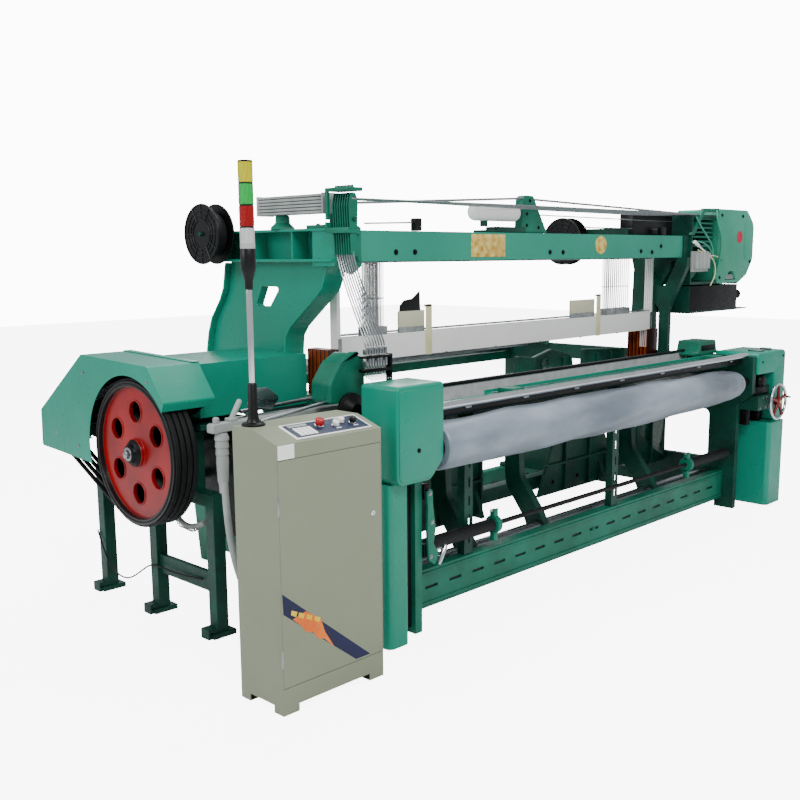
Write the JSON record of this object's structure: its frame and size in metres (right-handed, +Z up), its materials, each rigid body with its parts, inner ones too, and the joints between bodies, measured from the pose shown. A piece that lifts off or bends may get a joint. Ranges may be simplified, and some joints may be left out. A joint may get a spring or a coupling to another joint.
{
  "type": "power loom",
  "caption": "Free-standing weaving machine: side frames under an overhead beam, sley, heald frames, rollers, belt drive, dobby and a separate control cabinet.",
  "frame": {"origin": "middle of the footprint on the floor", "axes": "+X along the loom from the drive side to the dobby side, +Y from the cloth front to the warp back, +Z up"},
  "size_m": [4.854, 2.103, 1.9745],
  "materials": {
    "green_paint": "satin enamel",
    "beam_paint": "satin enamel",
    "red_paint": "gloss enamel",
    "cabinet_paint": "fine texture",
    "bright_steel": "ground",
    "dark_steel": "oiled",
    "chrome": "polished",
    "black_rubber": "matt",
    "white_slat": "white coating",
    "bakelite": "satin",
    "roll_sheet": "woven, slightly shiny",
    "lamp_lens": "ribbed lens",
    "black_plastic": "fine texture",
    "red_plastic": "gloss",
    "white_plastic": "gloss",
    "panel_film": "printed film",
    "grey_hose": "ribbed"
  },
  "bodies": {
    "loom_frame": {"left_side_frame": "green_paint", "right_side_frame": "green_paint", "left_gantry": "green_paint", "right_gantry": "green_paint", "top_beam": "beam_paint", "tie_rails": "green_paint", "breast_beam": "dark_steel", "breast_tube": "chrome", "temple_rail": "green_paint", "left_front_cover": "green_paint", "right_front_cover": "green_paint", "lower_covers": "green_paint", "belt_guard": "green_paint", "drive_cover": "green_paint", "outboard_stand": "green_paint", "motor": "dark_steel", "drive_belts": "black_rubber", "cabinet_shell": "cabinet_paint", "control_unit": "cabinet_paint", "console_panel": "panel_film", "tower_pole": "bright_steel", "tower_lamps": "lamp_lens", "dobby_case": "green_paint", "dobby_frame": "green_paint", "heald_guides": "bakelite", "support_brackets": "green_paint", "conduit": "grey_hose"},
    "main_drive": {"flywheel": "red_paint", "main_shaft": "bright_steel"},
    "motor_rotor": {"motor_pulley": "dark_steel"},
    "sley": {"rocking_shaft": "green_paint", "sley_swords": "green_paint", "sley_beam": "green_paint", "reed": "bright_steel"},
    "heald_1": {"heald_frame_1": "white_slat"},
    "heald_2": {"heald_frame_2": "white_slat"},
    "heald_3": {"heald_frame_3": "white_slat"},
    "heald_4": {"heald_frame_4": "white_slat"},
    "take_up": {"take_up_roller": "dark_steel", "roller_cover": "roll_sheet"},
    "take_up_handwheel": {"handwheel": "chrome"},
    "cloth_beam": {"cloth_roller": "dark_steel"},
    "warp_supply": {"warp_beam": "green_paint"},
    "back_rest": {"back_rest_roller": "bright_steel"},
    "door": {"cabinet_door": "cabinet_paint"},
    "stop_mushroom": {"emergency_stop": "red_plastic"},
    "start_key": {"start_button": "white_plastic"},
    "halt_key": {"stop_button": "white_plastic"},
    "mode_switch": {"mode_knob": "black_plastic"},
    "left_reel": {"left_spool": "black_plastic"},
    "right_reel": {"right_spool": "black_plastic"},
    "levelling_knob": {"dobby_knob": "black_plastic"},
    "selector_1": {"selector_lever_1": "green_paint"},
    "selector_2": {"selector_lever_2": "green_paint"},
    "selector_3": {"selector_lever_3": "green_paint"},
    "selector_4": {"selector_lever_4": "green_paint"},
    "selector_5": {"selector_lever_5": "green_paint"},
    "selector_6": {"selector_lever_6": "green_paint"},
    "selector_7": {"selector_lever_7": "green_paint"},
    "selector_8": {"selector_lever_8": "green_paint"}
  },
  "joints": [
    {"name": "main_drive_spin", "type": "hinge", "parent": "loom_frame", "child": "main_drive", "pos_m": [-2.298, 0.017, 0.82], "axis": [1, 0, 0], "continuous": true},
    {"name": "motor_spin", "type": "hinge", "parent": "loom_frame", "child": "motor_rotor", "pos_m": [-2.298, 0.672, 0.865], "axis": [1, 0, 0], "continuous": true},
    {"name": "sley_rock", "type": "hinge", "parent": "loom_frame", "child": "sley", "pos_m": [-0.023, -0.648, 0.21], "axis": [1, 0, 0], "range_deg": [-9, 4]},
    {"name": "heald_1_lift", "type": "slide", "parent": "loom_frame", "child": "heald_1", "axis": [0, 0, 1], "range_m": [-0.045, 0.045]},
    {"name": "heald_2_lift", "type": "slide", "parent": "loom_frame", "child": "heald_2", "axis": [0, 0, 1], "range_m": [-0.045, 0.045]},
    {"name": "heald_3_lift", "type": "slide", "parent": "loom_frame", "child": "heald_3", "axis": [0, 0, 1], "range_m": [-0.045, 0.045]},
    {"name": "heald_4_lift", "type": "slide", "parent": "loom_frame", "child": "heald_4", "axis": [0, 0, 1], "range_m": [-0.045, 0.045]},
    {"name": "take_up_spin", "type": "hinge", "parent": "loom_frame", "child": "take_up", "pos_m": [-0.023, -0.898, 0.84], "axis": [1, 0, 0], "continuous": true},
    {"name": "handwheel_spin", "type": "hinge", "parent": "loom_frame", "child": "take_up_handwheel", "pos_m": [1.71, -1.013, 0.697], "axis": [0, 1, 0], "continuous": true},
    {"name": "cloth_beam_spin", "type": "hinge", "parent": "loom_frame", "child": "cloth_beam", "pos_m": [-0.023, -0.798, 0.372], "axis": [1, 0, 0], "continuous": true},
    {"name": "warp_beam_spin", "type": "hinge", "parent": "loom_frame", "child": "warp_supply", "pos_m": [-0.023, 0.752, 0.47], "axis": [1, 0, 0], "continuous": true},
    {"name": "back_rest_spin", "type": "hinge", "parent": "loom_frame", "child": "back_rest", "pos_m": [-0.023, 0.992, 0.95], "axis": [1, 0, 0], "continuous": true},
    {"name": "door_swing", "type": "hinge", "parent": "loom_frame", "child": "door", "pos_m": [-2.423, -1.051, 0.52], "axis": [0, 0, -1], "range_deg": [0, 110]},
    {"name": "emergency_stop_press", "type": "slide", "parent": "loom_frame", "child": "stop_mushroom", "axis": [0, 0.3118, -0.9502], "range_m": [0, 0.005], "stiffness_N_per_m": 900},
    {"name": "start_press", "type": "slide", "parent": "loom_frame", "child": "start_key", "axis": [0, 0.3118, -0.9502], "range_m": [0, 0.004], "stiffness_N_per_m": 400},
    {"name": "halt_press", "type": "slide", "parent": "loom_frame", "child": "halt_key", "axis": [0, 0.3118, -0.9502], "range_m": [0, 0.004], "stiffness_N_per_m": 400},
    {"name": "mode_turn", "type": "hinge", "parent": "loom_frame", "child": "mode_switch", "pos_m": [-2.013, -0.99452, 1.03958], "axis": [0, -0.3118, 0.9502], "range_deg": [-60, 60]},
    {"name": "left_reel_spin", "type": "hinge", "parent": "loom_frame", "child": "left_reel", "pos_m": [-1.657, 0.402, 1.753], "axis": [1, 0, 0], "continuous": true},
    {"name": "right_reel_spin", "type": "hinge", "parent": "loom_frame", "child": "right_reel", "pos_m": [0.757, 0.002, 1.725], "axis": [1, 0, 0], "continuous": true},
    {"name": "levelling_knob_turn", "type": "hinge", "parent": "loom_frame", "child": "levelling_knob", "pos_m": [2.307, -0.388, 1.355], "axis": [1, 0, 0], "continuous": true},
    {"name": "selector_1_swing", "type": "hinge", "parent": "loom_frame", "child": "selector_1", "pos_m": [-1.578, -0.5455, 1.8], "axis": [0, 1, 0], "range_deg": [-8, 8]},
    {"name": "selector_2_swing", "type": "hinge", "parent": "loom_frame", "child": "selector_2", "pos_m": [-1.578, -0.5305, 1.8], "axis": [0, 1, 0], "range_deg": [-8, 8]},
    {"name": "selector_3_swing", "type": "hinge", "parent": "loom_frame", "child": "selector_3", "pos_m": [-1.578, -0.5155, 1.8], "axis": [0, 1, 0], "range_deg": [-8, 8]},
    {"name": "selector_4_swing", "type": "hinge", "parent": "loom_frame", "child": "selector_4", "pos_m": [-1.578, -0.5005, 1.8], "axis": [0, 1, 0], "range_deg": [-8, 8]},
    {"name": "selector_5_swing", "type": "hinge", "parent": "loom_frame", "child": "selector_5", "pos_m": [-1.578, -0.4855, 1.8], "axis": [0, 1, 0], "range_deg": [-8, 8]},
    {"name": "selector_6_swing", "type": "hinge", "parent": "loom_frame", "child": "selector_6", "pos_m": [-1.578, -0.4705, 1.8], "axis": [0, 1, 0], "range_deg": [-8, 8]},
    {"name": "selector_7_swing", "type": "hinge", "parent": "loom_frame", "child": "selector_7", "pos_m": [-1.578, -0.4555, 1.8], "axis": [0, 1, 0], "range_deg": [-8, 8]},
    {"name": "selector_8_swing", "type": "hinge", "parent": "loom_frame", "child": "selector_8", "pos_m": [-1.578, -0.4405, 1.8], "axis": [0, 1, 0], "range_deg": [-8, 8]}
  ],
  "couplings": [
    {"joint": "motor_spin", "follows": "main_drive_spin", "ratio": 4.4571},
    {"joint": "handwheel_spin", "follows": "take_up_spin", "ratio": 12}
  ]
}
